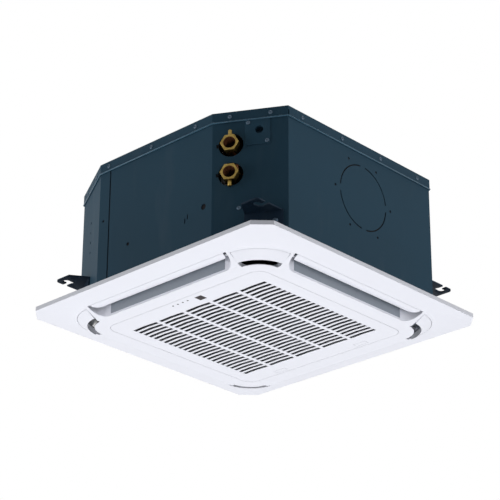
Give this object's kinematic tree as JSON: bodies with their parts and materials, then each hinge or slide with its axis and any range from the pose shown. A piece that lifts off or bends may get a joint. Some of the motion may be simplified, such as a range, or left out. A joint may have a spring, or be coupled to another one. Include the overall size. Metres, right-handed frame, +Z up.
{
  "type": "cassette air conditioner",
  "caption": "Compact four-way ceiling cassette with a domed white panel, curved louvres, hinged intake grille and a slant-cornered sheet-metal case hung by slotted hooks.",
  "frame": {"origin": "midway between the four hanger slots, at the underside of the hooks", "axes": "+Z up, +X along the front of the case towards the pipe corner, +Y from the front to the back"},
  "size_m": [0.647, 0.647, 0.3195],
  "materials": {
    "case_paint": "satin",
    "plated_steel": "satin",
    "foam_black": "matte",
    "brass_body": "satin",
    "brass_screw": "satin",
    "copper": "satin",
    "fin_aluminium": "satin",
    "pan_white": "matte",
    "inner_plastic": "matte",
    "hose_rubber": "matte",
    "motor_steel": "satin",
    "board_green": "satin",
    "panel_white": "satin",
    "louvre_white": "satin",
    "guide_grey": "matte",
    "filter_net": "matte",
    "window_dark": "gloss",
    "lamp_clear": "gloss"
  },
  "bodies": {
    "unit": {"top_cover": "case_paint", "case_front": "case_paint", "case_right": "case_paint", "case_back": "case_paint", "case_left": "case_paint", "hanger_back_right": "case_paint", "hanger_front_right": "case_paint", "hanger_back_left": "case_paint", "hanger_front_left": "case_paint", "drain_outlet": "case_paint", "cover_screws": "plated_steel", "hanger_screws": "plated_steel", "case_screws": "plated_steel", "panel_screws": "plated_steel", "control_box": "plated_steel", "control_box_cover": "plated_steel", "insulation": "foam_black", "panel_seal": "foam_black", "motor_mounts": "foam_black", "water_fitting_upper": "brass_body", "water_fitting_lower": "brass_body", "coil_header_upper": "copper", "coil_header_lower": "copper", "return_bends": "copper", "coil_fins": "fin_aluminium", "drain_pan": "pan_white", "bell_mouth": "inner_plastic", "drain_pump": "inner_plastic", "louvre_motor_front": "inner_plastic", "louvre_motor_right": "inner_plastic", "louvre_motor_back": "inner_plastic", "louvre_motor_left": "inner_plastic", "terminal_block": "inner_plastic", "cable_gland": "inner_plastic", "drain_hose": "hose_rubber", "fan_motor": "motor_steel", "circuit_board": "board_green", "panel_frame": "panel_white", "corner_cover_back_right": "panel_white", "corner_cover_back_left": "panel_white", "corner_cover_front_left": "panel_white", "corner_cover_front_right": "panel_white", "air_guide": "guide_grey"},
    "fan": {"turbo_fan": "inner_plastic", "motor_shaft": "plated_steel", "fan_nut": "plated_steel"},
    "louvre_front": {"louvre_front": "louvre_white"},
    "louvre_right": {"louvre_right": "louvre_white"},
    "louvre_back": {"louvre_back": "louvre_white"},
    "louvre_left": {"louvre_left": "louvre_white"},
    "grille": {"intake_grille": "panel_white", "receiver_window": "window_dark", "lamp_lenses": "lamp_clear", "display_board": "board_green"},
    "filter": {"air_filter": "filter_net"},
    "pad_right": {"push_pad_right": "panel_white"},
    "pad_left": {"push_pad_left": "panel_white"},
    "float": {"pump_float": "inner_plastic"},
    "bleed_upper": {"bleed_screw_upper": "brass_screw"},
    "bleed_lower": {"bleed_screw_lower": "brass_screw"}
  },
  "joints": [
    {"name": "fan_spin", "type": "hinge", "parent": "unit", "child": "fan", "pos_m": [0, 0, 0.15], "axis": [0, 0, 1], "continuous": true},
    {"name": "louvre_front_swing", "type": "hinge", "parent": "unit", "child": "louvre_front", "pos_m": [0, -0.256, -0.0675], "axis": [1, 0, 0], "range_deg": [0, 50]},
    {"name": "louvre_right_swing", "type": "hinge", "parent": "unit", "child": "louvre_right", "pos_m": [0.256, 0, -0.0675], "axis": [0, 1, 0], "range_deg": [0, 50]},
    {"name": "louvre_back_swing", "type": "hinge", "parent": "unit", "child": "louvre_back", "pos_m": [0, 0.256, -0.0675], "axis": [-1, 0, 0], "range_deg": [0, 50]},
    {"name": "louvre_left_swing", "type": "hinge", "parent": "unit", "child": "louvre_left", "pos_m": [-0.256, 0, -0.0675], "axis": [0, -1, 0], "range_deg": [0, 50]},
    {"name": "grille_hinge", "type": "hinge", "parent": "unit", "child": "grille", "pos_m": [0, -0.186, -0.093], "axis": [-1, 0, 0], "range_deg": [0, 90]},
    {"name": "filter_lift", "type": "slide", "parent": "grille", "child": "filter", "axis": [0, 0, 1], "range_m": [0, 0.01]},
    {"name": "pad_right_push", "type": "slide", "parent": "grille", "child": "pad_right", "axis": [0, 0, 1], "range_m": [0, 0.0025], "stiffness_N_per_m": 400, "springref_m": -0.001},
    {"name": "pad_left_push", "type": "slide", "parent": "grille", "child": "pad_left", "axis": [0, 0, 1], "range_m": [0, 0.0025], "stiffness_N_per_m": 400, "springref_m": -0.001},
    {"name": "float_rise", "type": "slide", "parent": "unit", "child": "float", "axis": [0, 0, 1], "range_m": [0, 0.02]},
    {"name": "bleed_upper_turn", "type": "hinge", "parent": "unit", "child": "bleed_upper", "pos_m": [0.19212, -0.2738, 0.15], "axis": [0, 0, 1], "range_deg": [0, 360]},
    {"name": "bleed_lower_turn", "type": "hinge", "parent": "unit", "child": "bleed_lower", "pos_m": [0.19212, -0.2738, 0.088], "axis": [0, 0, 1], "range_deg": [0, 360]}
  ],
  "couplings": [
    {"joint": "louvre_right_swing", "follows": "louvre_front_swing", "ratio": 1},
    {"joint": "louvre_back_swing", "follows": "louvre_front_swing", "ratio": 1},
    {"joint": "louvre_left_swing", "follows": "louvre_front_swing", "ratio": 1}
  ]
}
